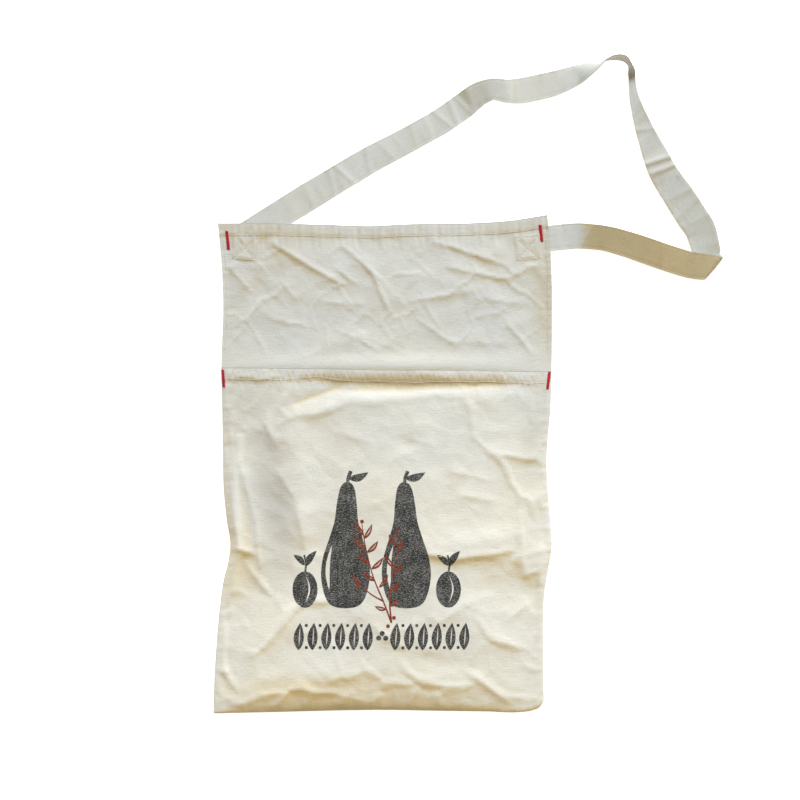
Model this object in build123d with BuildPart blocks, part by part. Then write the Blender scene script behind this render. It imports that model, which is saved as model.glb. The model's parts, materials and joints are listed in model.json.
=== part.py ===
"""Canvas fruit picking bag, lying on its back with its shoulder strap laid out above it.

Millimetres. +X runs across the bag, +Y from the bottom seam towards the top hem, and +Z up
from the surface that the bag lies on. The origin is the centre of the bag's back, on that
surface. The pouch is a front panel sewn to a back panel along both sides and the bottom. The
back cloth carries on above the pouch's mouth as a bib, with the strap sewn behind its top
corners. The bib folds at a crease just above the mouth, the strap swings at the bib's top, and
the pouch opens by its front panel rising from the bottom seam.
"""

import os
from math import asin, atan2, cos, radians, sin, sqrt

from build123d import *

os.makedirs("parts", exist_ok=True)

# Cloth
canvas = 1.0  # one layer
hem_layers = 2.0  # the two layers that a hem adds
thread = 0.5
stitch_width = 0.8
body_gap = 0.3  # between pieces that move apart

# Bag
bag_width = 396.0
half_width = bag_width / 2
bottom_y = -293.0
mouth_y = 118.0
crease_y = 130.0
top_y = 292.0
corner_radius = 6.0
hem = 15.0
side_hem = 6.0
seam_allowance = 10.0
stitch_inset = 2.0  # from a hem's inner edge to its stitching, and from a row's ends to the cloth's

# Front panel: how far its middle stands above its side seams, at stations down the pouch
panel_low = canvas + hem_layers + body_gap
mouth_rise = 13.0
belly = {mouth_y - hem: 13.0, 40.0: 19.0, -60.0: 24.0, -170.0: 23.0, -240.0: 15.0, bottom_y: 0.4}

# Strap
strap_width = 30.0
strap = 2.0
tab_length = 36.0
tab_y = top_y - 21.0
tab_low_y = tab_y - strap_width / 2

# Bar tacks, and the crossed boxes that hold the tabs
tack_width, tack_length, tack_height = 2.4, 20.0, 0.8
mouth_tack_x = half_width - 4.0
bib_tack_x = half_width - 8.0
bib_tack_y = top_y - 20.0
box_size = 28.0
box_x = half_width - 29.0
box_y = top_y - 28.0
box_tilt = 5.0

# The bib's top stands on two layers of strap and its own hem, and slopes down to the crease
bib_length = top_y - crease_y
bib_lift = 2 * strap + hem_layers + body_gap
bib_slope = asin(bib_lift / (tab_low_y - crease_y))
bib_plane = Plane(
    origin=(0, crease_y, 0), x_dir=(1, 0, 0), z_dir=(0, -sin(bib_slope), cos(bib_slope))
)

# The free strap, as its middle in plan. The bank is 0 where it lies flat and 90 where it
# stands on its outer edge.
left_points = [(-190, 266), (-104, 318), (16, 389), (77, 424), (113, 450), (146, 452), (200, 461)]
left_radii = [400, 400, 150, 40, 60]
corner_stations = [
    (200, 461, 0),
    (228, 470, 20),
    (250, 481, 55),
    (266, 488, 85),
    (280, 491, 90),
    (290, 486, 90),
    (295, 474, 88),
    (297, 451, 70),
    (303, 428, 48),
    (311, 404, 24),
    (322, 380, 0),
]
right_points = [(322, 380), (331, 360), (346, 333), (398, 244)]
right_radii = [60, 120]
return_points = [(199, 277), (247, 277), (274, 270), (331, 247), (398, 238)]
return_radii = [120, 120, 90]

# The strap folds back under itself along a slanting crease
crease_middle = Vector(390, 243)
crease_along = Vector(0.5, 0.866, 0)
crease_outward = Vector(0.866, -0.5, 0)
fold_depth = 12.0

# The strap swings about a line past its left exit and its right exit's lower edge
swing_left = Vector(-115, top_y + 2.0, strap)
swing_right = Vector(half_width + 1.0, 261.0, strap)
swing_along = (swing_right - swing_left).normalized()
swing_across = Vector(0, 0, 1).cross(swing_along)


def save(piece, name):
    """Labels a finished piece and writes its STEP file."""
    piece.part.label = name
    export_step(piece.part, f"parts/{name}.step")


def arch_height(x, rise):
    """How far an arch of this rise, across the whole bag, stands above its ends at x."""
    radius = (half_width**2 + rise**2) / (2 * rise)
    return sqrt(radius**2 - x**2) - radius + rise


def arch_section(y, reach, rise, low, high):
    """A band across the bag between two arches that follow the front panel, from low to high."""
    end = arch_height(reach, rise)
    across = Plane(origin=(0, y, 0), x_dir=(1, 0, 0), z_dir=(0, -1, 0))
    with BuildSketch(across) as section:
        with BuildLine():
            ThreePointArc((-reach, high + end), (0, high + rise), (reach, high + end))
            Line((reach, high + end), (reach, low + end))
            ThreePointArc((reach, low + end), (0, low + rise), (-reach, low + end))
            Line((-reach, low + end), (-reach, high + end))
        make_face()
    return section.sketch


def flat_strip(points, radii, low):
    """A length of strap lying flat, with its underside at low."""
    with BuildPart() as strip:
        with BuildSketch(Plane.XY.offset(low)):
            with BuildLine():
                FilletPolyline(*points, radius=radii)
            trace(line_width=strap_width)
        extrude(amount=strap)
    return strip.part


def banked_section(x, y, bank, heading):
    """The strap's own section at one place, tipped up about its outer edge by its bank."""
    tip = sin(radians(bank))
    level = Vector(-sin(heading), cos(heading), 0) * cos(radians(bank))
    middle = Vector(x, y, strap / 2 + strap_width / 2 * tip)
    place = Plane(middle, x_dir=level - Vector(0, 0, tip), z_dir=(cos(heading), sin(heading), 0))
    with BuildSketch(place) as section:
        Rectangle(strap_width, strap)
    return section.sketch


# --- Pouch ---------------------------------------------------------------------------------

with BuildPart() as back_panel:
    back_length = crease_y - body_gap - bottom_y
    with BuildSketch():
        with Locations((0, bottom_y + back_length / 2)):
            outline = Rectangle(bag_width, back_length)
        fillet(outline.vertices().group_by(Axis.Y)[0], corner_radius)
    extrude(amount=canvas)
save(back_panel, "back_panel")

with BuildPart() as front_panel:
    panel_high = panel_low + canvas
    extrude(arch_section(mouth_y, half_width, mouth_rise, panel_low, panel_high), amount=hem)
    loft([arch_section(y, half_width, rise, panel_low, panel_high) for y, rise in belly.items()])
save(front_panel, "front_panel")

with BuildPart() as mouth_hem:
    reach = half_width - seam_allowance - body_gap
    extrude(arch_section(mouth_y, reach, mouth_rise, panel_low - hem_layers, panel_low), amount=hem)
save(mouth_hem, "mouth_hem")

with BuildPart() as mouth_hem_stitching:
    reach = mouth_tack_x - tack_width
    stitch_y = mouth_y - hem + stitch_inset + stitch_width
    stitches = arch_section(stitch_y, reach, mouth_rise, panel_high, panel_high + thread)
    extrude(stitches, amount=stitch_width)
save(mouth_hem_stitching, "mouth_hem_stitching")

for side, sign in (("left", -1), ("right", 1)):
    with BuildPart() as side_seam:
        with BuildSketch(Plane.XY.offset(canvas)):
            with Locations((sign * (half_width - seam_allowance / 2), (bottom_y + mouth_y) / 2)):
                foot = Rectangle(seam_allowance, mouth_y - bottom_y).vertices().group_by(Axis.Y)[0]
            fillet(foot.sort_by(Axis.X)[0 if sign < 0 else -1], corner_radius)
        extrude(amount=hem_layers)
    save(side_seam, f"{side}_side_seam")

    with BuildPart() as mouth_bar_tack:
        edge_rise = arch_height(mouth_tack_x - tack_width / 2, mouth_rise)
        with BuildSketch(Plane.XY.offset(panel_high + edge_rise)):
            with Locations((sign * mouth_tack_x, mouth_y - tack_length / 2)):
                SlotOverall(tack_length, tack_width, rotation=90)
        extrude(amount=tack_height)
    save(mouth_bar_tack, f"mouth_bar_tack_{side}")

with BuildPart() as bottom_seam:
    with BuildSketch(Plane.XY.offset(canvas)):
        with Locations((0, bottom_y + seam_allowance / 2)):
            Rectangle(bag_width - 2 * (seam_allowance + body_gap), seam_allowance)
    extrude(amount=hem_layers)
save(bottom_seam, "bottom_seam")


# --- Bib, in its own plane: y is the distance up from the crease ---------------------------

with BuildPart() as bib_panel:
    with BuildSketch(bib_plane):
        with Locations((0, (bib_length + body_gap) / 2)):
            Rectangle(bag_width, bib_length - body_gap)
    extrude(amount=canvas)
save(bib_panel, "bib_panel")

with BuildPart() as top_hem:
    with BuildSketch(bib_plane):
        with Locations((0, bib_length - hem / 2)):
            Rectangle(bag_width, hem)
    extrude(amount=-hem_layers)
save(top_hem, "top_hem")

with BuildPart() as top_hem_stitching:
    with BuildSketch(bib_plane.offset(canvas)):
        with Locations((0, bib_length - hem + stitch_inset)):
            Rectangle(2 * (box_x - box_size * 0.65), stitch_width)
    extrude(amount=thread)
save(top_hem_stitching, "top_hem_stitching")

for side, sign in (("left", -1), ("right", 1)):
    # The side hems start where the bib stands clear of the surface that the bag lies on
    side_hem_start = (hem_layers + body_gap) / sin(bib_slope)
    side_hem_length = bib_length - hem - side_hem_start

    with BuildPart() as bib_hem:
        with BuildSketch(bib_plane):
            with Locations((sign * (half_width - side_hem / 2), side_hem_start + side_hem_length / 2)):
                Rectangle(side_hem, side_hem_length)
        extrude(amount=-hem_layers)
    save(bib_hem, f"bib_{side}_hem")

    with BuildPart() as bib_hem_stitching:
        row_x = sign * (half_width - side_hem + stitch_inset)
        row_length = bib_length - hem - 2 * stitch_inset
        with BuildSketch(bib_plane.offset(canvas)):
            with Locations((row_x, stitch_inset + row_length / 2)):
                Rectangle(stitch_width, row_length)
        extrude(amount=thread)
    save(bib_hem_stitching, f"bib_{side}_hem_stitching")

    with BuildPart() as strap_box_stitching:
        with BuildSketch(bib_plane.offset(canvas)):
            with Locations(Location((sign * box_x, box_y - crease_y, 0), (0, 0, sign * box_tilt))):
                Rectangle(box_size, box_size)
                inside = box_size - 2 * stitch_width
                Rectangle(inside, inside, mode=Mode.SUBTRACT)
                diagonal = box_size / cos(radians(45)) - 2 * stitch_width
                Rectangle(diagonal, stitch_width, rotation=45)
                Rectangle(diagonal, stitch_width, rotation=-45)
        extrude(amount=thread)
    save(strap_box_stitching, f"strap_{side}_box_stitching")

    with BuildPart() as bib_bar_tack:
        with BuildSketch(bib_plane.offset(canvas)):
            with Locations((sign * bib_tack_x, bib_tack_y - crease_y)):
                SlotOverall(tack_length, tack_width, rotation=90)
        extrude(amount=tack_height)
    save(bib_bar_tack, f"bib_bar_tack_{side}")

    with BuildPart() as strap_tab:
        tab_plane = bib_plane.offset(-hem_layers)
        with BuildSketch(tab_plane):
            with Locations((sign * (half_width - tab_length / 2), tab_y - crease_y)):
                Rectangle(tab_length, strap_width)
        extrude(amount=-strap)
    save(strap_tab, f"strap_{side}_tab")


# --- Strap ---------------------------------------------------------------------------------

cut_low = Plane(swing_left - swing_across * body_gap, x_dir=swing_along, z_dir=swing_across)
cut_high = Plane(swing_left + swing_across * body_gap, x_dir=swing_along, z_dir=swing_across)

with BuildPart() as strap_left_turn:
    add(flat_strip(left_points, left_radii, 0.0))
    split(bisect_by=cut_low, keep=Keep.BOTTOM)
save(strap_left_turn, "strap_left_turn")

with BuildPart() as strap_left_run:
    add(flat_strip(left_points, left_radii, 0.0))
    split(bisect_by=cut_high, keep=Keep.TOP)
save(strap_left_run, "strap_left_run")

with BuildPart() as strap_corner:
    sections = []
    for index, (x, y, bank) in enumerate(corner_stations):
        behind = corner_stations[max(index - 1, 0)]
        ahead = corner_stations[min(index + 1, len(corner_stations) - 1)]
        heading = atan2(ahead[1] - behind[1], ahead[0] - behind[0])
        sections.append(banked_section(x, y, bank, heading))
    loft(sections, ruled=True)
save(strap_corner, "strap_corner")

crease = Plane(crease_middle, x_dir=crease_along, z_dir=crease_outward)
fold_start = crease.offset(-fold_depth)

with BuildPart() as strap_right_run:
    add(flat_strip(right_points, right_radii, 0.0))
    split(bisect_by=fold_start, keep=Keep.BOTTOM)
save(strap_right_run, "strap_right_run")

with BuildPart() as strap_return_run:
    add(flat_strip(return_points, return_radii, strap))
    split(bisect_by=fold_start, keep=Keep.BOTTOM)
save(strap_return_run, "strap_return_run")

with BuildPart() as strap_fold:
    add(flat_strip(right_points, right_radii, 0.0))
    add(flat_strip(return_points, return_radii, strap))
    split(bisect_by=fold_start, keep=Keep.TOP)
    split(bisect_by=crease, keep=Keep.BOTTOM)
save(strap_fold, "strap_fold")
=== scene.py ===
"""The looks of a canvas fruit picking bag, laid flat on a pale floor and seen from above.

Shapes are worked out in millimetres, in the CAD frame (+X across the bag, +Y to its top hem,
+Z up), and written to meshes in metres. Every cloth is a grid of points with a thickness. The
bag's front and back are shaped by creases, dimples and crumpling, then settled by a short
cloth simulation. The strap follows a drawn path.
"""

import json
import math

import bpy
import numpy as np
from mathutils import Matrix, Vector, geometry


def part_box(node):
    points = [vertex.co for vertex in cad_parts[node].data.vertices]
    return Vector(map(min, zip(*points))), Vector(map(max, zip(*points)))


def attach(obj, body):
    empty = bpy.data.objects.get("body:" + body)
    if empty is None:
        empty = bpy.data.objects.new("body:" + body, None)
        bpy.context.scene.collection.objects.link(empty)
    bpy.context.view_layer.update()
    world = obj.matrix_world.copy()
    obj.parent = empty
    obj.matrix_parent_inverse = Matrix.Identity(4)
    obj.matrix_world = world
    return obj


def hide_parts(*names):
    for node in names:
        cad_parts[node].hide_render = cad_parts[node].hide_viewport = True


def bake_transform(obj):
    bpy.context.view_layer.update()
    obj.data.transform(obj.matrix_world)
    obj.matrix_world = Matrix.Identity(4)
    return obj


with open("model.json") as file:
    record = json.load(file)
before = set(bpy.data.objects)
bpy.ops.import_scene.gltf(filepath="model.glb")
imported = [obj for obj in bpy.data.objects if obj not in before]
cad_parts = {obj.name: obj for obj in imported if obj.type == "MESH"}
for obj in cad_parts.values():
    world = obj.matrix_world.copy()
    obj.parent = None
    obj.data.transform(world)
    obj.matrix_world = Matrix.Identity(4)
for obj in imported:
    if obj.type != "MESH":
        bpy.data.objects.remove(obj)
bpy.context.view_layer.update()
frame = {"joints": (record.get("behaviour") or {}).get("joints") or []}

MM = 0.001


# --- Sizes from the frame --------------------------------------------------------------------


def box_mm(node):
    """A CAD node's lowest and highest corners, in millimetres."""
    low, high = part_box(node)
    return np.array(low) / MM, np.array(high) / MM


joints = {joint["name"]: joint for joint in frame["joints"]}
swing_at = np.array(joints["strap_swing"]["pos_m"]) / MM
swing_along = np.array(joints["strap_swing"]["axis"])
swing_across = np.array([-swing_along[1], swing_along[0], 0.0])
crease_y = joints["bib_fold"]["pos_m"][1] / MM

half_width = box_mm("back_panel")[1][0]
bottom_y = box_mm("back_panel")[0][1]
mouth_y = box_mm("front_panel")[1][1]
top_y = box_mm("bib_panel")[1][1]
strap_width = box_mm("strap_right_tab")[1][1] - box_mm("strap_right_tab")[0][1]

hem = 15.0
cloth_thickness = 0.7
fold_radius = 0.42
strap_thickness = 1.8


# --- Curves, grids and relief ----------------------------------------------------------------


def curve(points):
    """A smooth function through (x, value) points, level past its ends."""
    px, py = np.array(points, float).T
    slope = np.gradient(py, px)

    def value(x):
        x = np.clip(np.asarray(x, float), px[0], px[-1])
        i = np.clip(np.searchsorted(px, x) - 1, 0, len(px) - 2)
        span = px[i + 1] - px[i]
        t = (x - px[i]) / span
        return (
            (1 + 2 * t) * (1 - t) ** 2 * py[i]
            + t * (1 - t) ** 2 * span * slope[i]
            + t * t * (3 - 2 * t) * py[i + 1]
            + t * t * (t - 1) * span * slope[i + 1]
        )

    return value


def carried(rows, places, onto):
    """Rows of values at some places, carried over smoothly onto other places."""
    return np.stack([curve(list(zip(places, column)))(onto) for column in rows.T], -1)


def summed(steps):
    """The running total of some steps, from 0."""
    return np.concatenate([[0], np.cumsum(steps)])


def smooth(low, high, x):
    """0 below low and 1 above high, with a smooth rise between."""
    t = np.clip((x - low) / (high - low), 0, 1)
    return t * t * (3 - 2 * t)


def crease(x, y, x1, y1, x2, y2, height, above, below):
    """A sharp-topped fold from (x1, y1) to (x2, y2), that falls away over above on its left
    side and over below on its right side, as seen along it."""
    start, end = np.array((x1, y1), float), np.array((x2, y2), float)
    run = end - start
    length = np.hypot(*run)
    along = ((x - start[0]) * run[0] + (y - start[1]) * run[1]) / length
    across = ((y - start[1]) * run[0] - (x - start[0]) * run[1]) / length
    beyond = np.maximum(0, np.maximum(-along, along - length))
    tip = 1.2
    fall = np.where(across > 0, above, below)
    rise = np.exp(-(np.hypot(across, tip) - tip) / fall)
    fade = smooth(-0.15, 0.3, along / length) * smooth(-0.15, 0.3, 1 - along / length)
    return height * rise * fade * np.exp(-((beyond / 14.0) ** 2))


def turned(x, y, angle):
    """Coordinates measured along and across a direction at this angle in degrees."""
    c, s = math.cos(math.radians(angle)), math.sin(math.radians(angle))
    return x * c + y * s, y * c - x * s


def dimple(x, y, x1, y1, height, width, length, angle):
    """A soft round or long bump, or a hollow where height is below 0."""
    u, v = turned(x - x1, y - y1, angle)
    return height * np.exp(-((u / length) ** 2) - (v / width) ** 2)


def folded(x, y, creases, dimples, crumples):
    """The sum of some creases, dimples and crumples, each a row of its own numbers."""
    z = np.zeros_like(x)
    for row in creases:
        z = z + crease(x, y, *row)
    for row in dimples:
        z = z + dimple(x, y, *row)
    for height, *row in crumples:
        z = z + height * (crumple(x, y, *row) - 0.25)
    return z


def crumple(x, y, cell, seed, stretch, angle):
    """Soft bowls that meet at sharp ridges, as in cloth that was balled up, from 0 to about 1."""
    random = np.random.default_rng(seed)
    warp = 0.35 * cell
    wx = x + warp * np.sin(y / cell * 1.7 + seed) * np.cos(x / cell * 1.1)
    wy = y + warp * np.sin(x / cell * 1.9 + 2 * seed) * np.cos(y / cell * 0.9)
    u, v = turned(wx, wy, angle)
    u, v = u / (cell * stretch), v / cell
    low_u, low_v = math.floor(u.min()) - 1, math.floor(v.min()) - 1
    count_u, count_v = math.ceil(u.max()) + 2 - low_u, math.ceil(v.max()) + 2 - low_v
    jitter = random.uniform(0.1, 0.9, (count_u, count_v, 2))
    iu, iv = np.floor(u).astype(int) - low_u, np.floor(v).astype(int) - low_v
    nearest = np.full(u.shape, 9.0)
    for du in (-1, 0, 1):
        for dv in (-1, 0, 1):
            ju, jv = np.clip(iu + du, 0, count_u - 1), np.clip(iv + dv, 0, count_v - 1)
            pu = ju + low_u + jitter[ju, jv, 0]
            pv = jv + low_v + jitter[ju, jv, 1]
            nearest = np.minimum(nearest, (u - pu) ** 2 + (v - pv) ** 2)
    return nearest


def ripple(t, seed, waves):
    """A wandering wave along t, from about -1 to 1, whose lengths are in waves."""
    random = np.random.default_rng(seed)
    total = sum(
        np.sin(2 * math.pi * t / wave + random.uniform(0, 6.28)) * random.uniform(0.6, 1.0)
        for wave in waves
    )
    return total / len(waves)


def soft_floor(z, floor):
    """Heights that level out just above a floor instead of passing through it."""
    return floor + 0.5 * (z - floor + np.sqrt((z - floor) ** 2 + 0.5))


def grid_normals(points):
    """The upward normals of a grid of points."""
    along = np.gradient(points, axis=1)
    up = np.gradient(points, axis=0)
    normal = np.cross(along, up)
    return normal / np.maximum(np.linalg.norm(normal, axis=2, keepdims=True), 1e-9)


def quads_of(index):
    """The four corners of each cell in a grid of vertex numbers."""
    return np.stack([index[:-1, :-1], index[:-1, 1:], index[1:, 1:], index[1:, :-1]], -1)


def make_mesh(name, vertices, faces, material, smooth_shade=True):
    """A new object with this mesh, from millimetres."""
    mesh = bpy.data.meshes.new(name)
    mesh.from_pydata((np.asarray(vertices) * MM).tolist(), [], faces)
    mesh.polygons.foreach_set("use_smooth", [smooth_shade] * len(mesh.polygons))
    mesh.materials.append(material)
    mesh.update()
    piece = bpy.data.objects.new(name, mesh)
    bpy.context.scene.collection.objects.link(piece)
    return piece


def add_flat(piece, flat):
    """Keeps each point's place on the flat cloth, in metres, for its material."""
    layer = piece.data.attributes.new("flat", "FLOAT_VECTOR", "POINT")
    layer.data.foreach_set("vector", (np.asarray(flat) * MM).astype(np.float32).ravel())


def painted_shade_share(points):
    """How much painted shade each point of a cloth gets, as a tan tint: most in hollows and on the
    sides of folds that face down the bag, away from the light."""
    normal = grid_normals(points)
    lean = smooth(0.02, 0.34, -normal[..., 1] * np.sign(normal[..., 2]))
    z = points[..., 2]
    around = z.copy()
    for _ in range(3):
        around = sum(np.roll(around, shift, axis) for axis in (0, 1) for shift in (2, -2)) / 4
    hollow = smooth(0.05, 0.9, around - z)
    return np.clip(lean + 0.5 * hollow, 0, 1)


def shell(name, points, flat, thickness, material, kept=slice(None), worn=slice(0, 0), folds=None):
    """A closed sheet of cloth about a grid of points. Only the kept columns are made, with the
    whole grid's normals, so that neighbours match. Folds is each point's share of painted shade.
    The worn rows are the edge of a hem, darkened as grime and as painted shade that holds down
    the bright turn of its fold."""
    normal, folds = grid_normals(points), painted_shade_share(points) if folds is None else folds
    # The worn rows: grime, and painted shade over the hem's bright turn
    folds[worn] = -1
    thickness = np.broadcast_to(thickness, points.shape[:2])
    half = thickness[..., None] / 2
    points, normal, half, flat, folds = (a[:, kept] for a in (points, normal, half, flat, folds))
    rows, cols = points.shape[:2]
    front, back = points + normal * half, points - normal * half
    vertices = np.concatenate([front.reshape(-1, 3), back.reshape(-1, 3)])
    index = np.arange(rows * cols).reshape(rows, cols)
    quads = quads_of(index)
    under = quads[..., ::-1] + rows * cols
    rim = np.concatenate([index[0], index[1:, -1], index[-1, -2::-1], index[-2:0:-1, 0]])
    after = np.roll(rim, -1)
    sides = np.stack([rim, rim + rows * cols, after + rows * cols, after], -1)
    faces = np.concatenate([quads.reshape(-1, 4), under.reshape(-1, 4), sides]).tolist()
    piece = make_mesh(name, vertices, faces, material)
    add_flat(piece, np.concatenate([flat.reshape(-1, 3)] * 2))
    # The fold attribute is each point's share of painted shade
    layer = piece.data.attributes.new("fold", "FLOAT", "POINT")
    layer.data.foreach_set("value", np.concatenate([folds.ravel()] * 2).astype(np.float32))
    normals = np.concatenate([normal.reshape(-1, 3), -normal.reshape(-1, 3)])
    piece.data.normals_split_custom_set_from_vertices(normals.tolist())
    return piece


# --- Materials -------------------------------------------------------------------------------


class Nodes:
    """Short calls for a material's nodes."""

    def __init__(self, name):
        self.material = bpy.data.materials.new(name)
        self.material.use_nodes = True
        self.tree = self.material.node_tree
        self.shader = self.tree.nodes["Principled BSDF"]

    def add(self, kind, inputs=(), **settings):
        node = self.tree.nodes.new("ShaderNode" + kind)
        for key, value in settings.items():
            setattr(node, key, value)
        for key, value in dict(inputs).items():
            self.set(node.inputs[key], value)
        return node

    def set(self, socket, value):
        if isinstance(value, bpy.types.NodeSocket):
            self.tree.links.new(value, socket)
        else:
            socket.default_value = value

    def math(self, operation, a, b=0.0, c=0.0):
        node = self.add("Math", operation=operation)
        for socket, value in zip(node.inputs, (a, b, c)):
            self.set(socket, value)
        return node.outputs[0]

    def mix(self, factor, a, b, blend="MIX"):
        node = self.add("Mix", data_type="RGBA", blend_type=blend)
        for socket, value in ((node.inputs[0], factor), (node.inputs[6], a), (node.inputs[7], b)):
            self.set(socket, value)
        return node.outputs[2]

    def ramp(self, value, *stops):
        node = self.add("ValToRGB")
        elements = node.color_ramp.elements
        for element, (place, colour) in zip(elements, (stops[0], stops[-1])):
            element.position, element.color = place, colour
        for place, colour in stops[1:-1]:
            elements.new(place).color = colour
        self.set(node.inputs[0], value)
        return node.outputs[0]

    def noise(self, vector, scale, detail=2.0, roughness=0.5):
        inputs = {"Vector": vector, "Scale": scale, "Detail": detail, "Roughness": roughness}
        return self.add("TexNoise", inputs).outputs["Fac"]

    def stretched(self, vector, x, y, z=1.0):
        inputs = {"Vector": vector, "Scale": (x, y, z)}
        return self.add("Mapping", inputs, vector_type="POINT").outputs[0]

    def attribute(self, name):
        return self.add("Attribute", attribute_name=name, attribute_type="GEOMETRY").outputs

    def surface(self, values):
        for key, value in values.items():
            self.set(self.shader.inputs[key], value)
        return self.material


def add_painted_shade(n, colour, tan):
    """Painted shade: a tan tint where the share is above 0, and a darker grey where it is below 0, which
    is painted shade, with some grime as well on the hems' edges.
    """
    share = n.attribute("fold")["Fac"]
    colour = n.mix(share, colour, tan, "MULTIPLY")
    return n.mix(n.math("MULTIPLY", share, -1.0), colour, (0.5, 0.49, 0.47, 1), "MULTIPLY")


def grey(value):
    return (value, value, value, 1.0)


def cloth_colour(n, place, warm, cool, pale):
    """Unbleached cotton: cloudy warm and cool patches, weft streaks and a few dark flecks."""
    clouds = n.noise(place, 9.0, 3.0, 0.55)
    colour = n.mix(n.ramp(clouds, (0.32, grey(0)), (0.68, grey(1))), cool, warm)
    patches = n.noise(n.stretched(place, 1.0, 1.6), 26.0, 4.0, 0.6)
    colour = n.mix(n.ramp(patches, (0.45, grey(0)), (0.75, grey(0.55))), colour, pale)
    streaks = n.noise(n.stretched(place, 60.0, 1500.0), 1.0, 2.0, 0.6)
    dull = n.ramp(streaks, (0.3, grey(0.16)), (0.55, grey(0)))
    colour = n.mix(dull, colour, (0.5, 0.46, 0.36, 1), "MULTIPLY")
    flecks = n.noise(n.stretched(place, 500.0, 900.0), 1.0, 1.0, 0.5)
    flecks = n.ramp(flecks, (0.76, grey(0)), (0.80, grey(0.35)))
    return n.mix(flecks, colour, (0.42, 0.33, 0.2, 1)), streaks


def weave_bump(n, place, streaks, strength):
    """Plain weave with uneven threads."""
    wobble = n.noise(place, 300.0, 2.0)
    warp, weft = (
        n.add("TexWave", {"Vector": place, "Scale": scale, "Distortion": 1.5, "Detail Scale": 3.0},
              wave_type="BANDS", bands_direction=way).outputs["Fac"]
        for scale, way in ((330.0, "X"), (360.0, "Y"))
    )
    height = n.math("MULTIPLY_ADD", n.math("MULTIPLY", warp, weft), 0.6, streaks)
    height = n.math("ADD", height, wobble)
    bump = n.add("Bump", {"Height": height, "Strength": strength, "Distance": 0.0005})
    return bump.outputs[0]


def soft_cotton(n, colour, normal=None, glow=0.0):
    """Matt cotton. Glow is how much of the light on its far side comes through."""
    if normal is not None:
        n.set(n.shader.inputs["Normal"], normal)
    return n.surface({
        "Base Color": colour, "Roughness": 0.9, "Specular IOR Level": 0.2,
        "Sheen Weight": 0.12, "Sheen Roughness": 0.5, "Subsurface Weight": glow,
        "Subsurface Radius": (1.0, 0.75, 0.55), "Subsurface Scale": 0.002,
    })


def strap_cloth(shades):
    """The strap's cloth, which lets light through where it stands off the floor."""
    n = Nodes("strap_canvas")
    place = n.attribute("flat")["Vector"]
    colour, streaks = cloth_colour(n, place, *shades)
    colour = add_painted_shade(n, colour, painted_shade_tan)
    return soft_cotton(n, colour, weave_bump(n, place, streaks, weave), glow=0.7)


def bag_cloth():
    """The bag's cloth: creamier over the pouch, and a little greyer and cooler up the bib as painted
    shade. Patches of painted light and shade and a few plain tints lie over it, then the painted shade
    of its folds.
    """
    n = Nodes("canvas")
    place = n.attribute("flat")["Vector"]
    pouch, streaks = cloth_colour(n, place, *pouch_shades)
    bib, _ = cloth_colour(n, place, *bib_painted_shade_tones)
    # Painted shade: the colour turns greyer and cooler from the pouch up the bib
    up = n.add("SeparateXYZ", {"Vector": place}).outputs["Y"]
    height = n.add("MapRange", {"Value": up, "From Min": -0.08, "From Max": 0.17}).outputs[0]
    colour = n.mix(height, pouch, bib)
    # Patches of painted light and painted shade, and a few plain tints
    for centre, reach, shade in shading_and_tone_patches:
        off = n.add("VectorMath", {0: place, 1: centre}, operation="SUBTRACT").outputs[0]
        away = n.add("VectorMath", {0: n.stretched(off, 1 / reach[0], 1 / reach[1])}, operation="LENGTH")
        near = n.add("MapRange", {"Value": away.outputs["Value"], "From Min": 1.0, "From Max": 0.2})
        colour = n.mix(near.outputs[0], colour, shade, "MULTIPLY")
    return soft_cotton(n, add_painted_shade(n, colour, painted_shade_tan), weave_bump(n, place, streaks, weave))


def thread_material(name, colour, dark):
    n = Nodes(name)
    place = n.add("TexCoord").outputs["Object"]
    twist = n.noise(place, 2500.0, 2.0)
    return soft_cotton(n, n.mix(n.ramp(twist, (0.35, grey(0)), (0.7, grey(1))), dark, colour))


def ink_material(name, ink, cloth, cover):
    """Screen ink worn off the tops of the threads: speckled with the cloth below it."""
    n = Nodes(name)
    place = n.attribute("flat")["Vector"]
    speckle = n.noise(place, 950.0, 3.0, 0.7)
    scratch = n.noise(n.stretched(place, 300.0, 900.0), 1.0, 3.0, 0.7)
    worn = n.math("ADD", n.math("MULTIPLY", speckle, 0.55), n.math("MULTIPLY", scratch, 0.45))
    worn = n.math("ADD", worn, n.math("MULTIPLY", n.noise(place, 70.0, 2.0), 0.12))
    return soft_cotton(n, n.mix(n.ramp(worn, (cover, grey(0)), (cover + 0.09, grey(1))), ink, cloth))


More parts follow.
